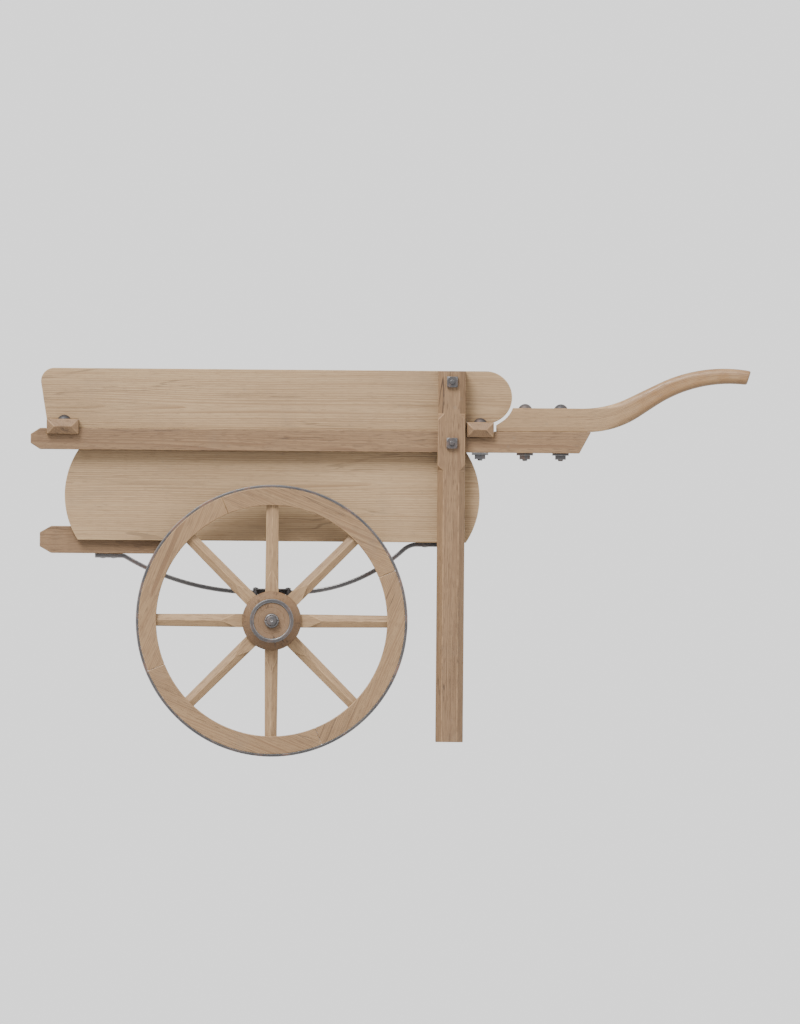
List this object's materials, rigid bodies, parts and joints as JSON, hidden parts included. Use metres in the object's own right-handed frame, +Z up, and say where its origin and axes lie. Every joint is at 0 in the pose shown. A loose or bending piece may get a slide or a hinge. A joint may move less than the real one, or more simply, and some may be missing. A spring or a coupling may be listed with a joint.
{
  "type": "hand cart",
  "caption": "Two-wheeled wooden hand cart: an open box with bowed cheeks on a sprung axle, spoked wheels with iron tyres, rear legs and swept handles.",
  "frame": {"origin": "bottom centre of the cart's bounding box, on the ground midway along its length and width", "axes": "+X towards the handles, +Y to the right-hand wheel as numbered by the user between the handles, +Z up"},
  "size_m": [1.8154, 0.874, 0.988],
  "materials": {
    "frame_timber": "oiled oak, worn edges",
    "handle_timber": "ash, hand-polished",
    "board_timber": "elm boards, aged",
    "floor_timber": "dry elm planks, scuffed",
    "wheel_timber": "ash felloes, oiled",
    "nave_timber": "turned elm, dark with grease",
    "spoke_timber": "cleft oak, oiled",
    "tyre_iron": "wrought iron, ground bright on the tread, brown with rust at the sides",
    "forged_iron": "blackened wrought iron",
    "cast_box_iron": "cast iron, greased",
    "spring_steel": "tempered spring steel, oxidised"
  },
  "bodies": {
    "cart_body": {"left_rail": "frame_timber", "right_rail": "frame_timber", "left_bearer": "frame_timber", "right_bearer": "frame_timber", "left_leg": "frame_timber", "right_leg": "frame_timber", "left_handle": "handle_timber", "right_handle": "handle_timber", "left_side_board": "board_timber", "right_side_board": "board_timber", "left_lower_panel": "board_timber", "right_lower_panel": "board_timber", "front_cross_member": "frame_timber", "rear_cross_member": "frame_timber", "floor_planks": "floor_timber", "corner_posts": "frame_timber", "front_end_board": "board_timber", "rear_end_board": "board_timber", "headboard": "board_timber", "tailboard": "board_timber", "coach_bolts": "forged_iron", "bolt_plates": "forged_iron", "square_nuts": "forged_iron", "spring_screws": "forged_iron", "left_leaf_spring": "spring_steel", "right_leaf_spring": "spring_steel"},
    "axle": {"axle_bed": "frame_timber", "axle_bar": "forged_iron", "axle_caps": "forged_iron", "clip_plates": "forged_iron", "clip_bolts": "forged_iron", "clip_nuts": "forged_iron"},
    "left_wheel": {"left_tyre": "tyre_iron", "left_felloes": "wheel_timber", "left_nave": "nave_timber", "left_nose_ring": "forged_iron", "left_back_hoop": "forged_iron", "left_hub_box": "cast_box_iron", "left_spoke_1": "spoke_timber", "left_spoke_2": "spoke_timber", "left_spoke_3": "spoke_timber", "left_spoke_4": "spoke_timber", "left_spoke_5": "spoke_timber", "left_spoke_6": "spoke_timber", "left_spoke_7": "spoke_timber", "left_spoke_8": "spoke_timber"},
    "right_wheel": {"right_tyre": "tyre_iron", "right_felloes": "wheel_timber", "right_nave": "nave_timber", "right_nose_ring": "forged_iron", "right_back_hoop": "forged_iron", "right_hub_box": "cast_box_iron", "right_spoke_1": "spoke_timber", "right_spoke_2": "spoke_timber", "right_spoke_3": "spoke_timber", "right_spoke_4": "spoke_timber", "right_spoke_5": "spoke_timber", "right_spoke_6": "spoke_timber", "right_spoke_7": "spoke_timber", "right_spoke_8": "spoke_timber"}
  },
  "joints": [
    {"name": "axle_heave", "type": "slide", "parent": "cart_body", "child": "axle", "axis": [0, 0, 1], "range_m": [-0.011, 0.03], "stiffness_N_per_m": 40000, "springref_m": -0.0108, "deforming": ["left_leaf_spring", "right_leaf_spring"]},
    {"name": "left_wheel_turn", "type": "hinge", "parent": "axle", "child": "left_wheel", "pos_m": [-0.29625, -0.346, 0.343], "axis": [0, 1, 0], "continuous": true},
    {"name": "right_wheel_turn", "type": "hinge", "parent": "axle", "child": "right_wheel", "pos_m": [-0.29625, 0.346, 0.343], "axis": [0, 1, 0], "continuous": true}
  ]
}
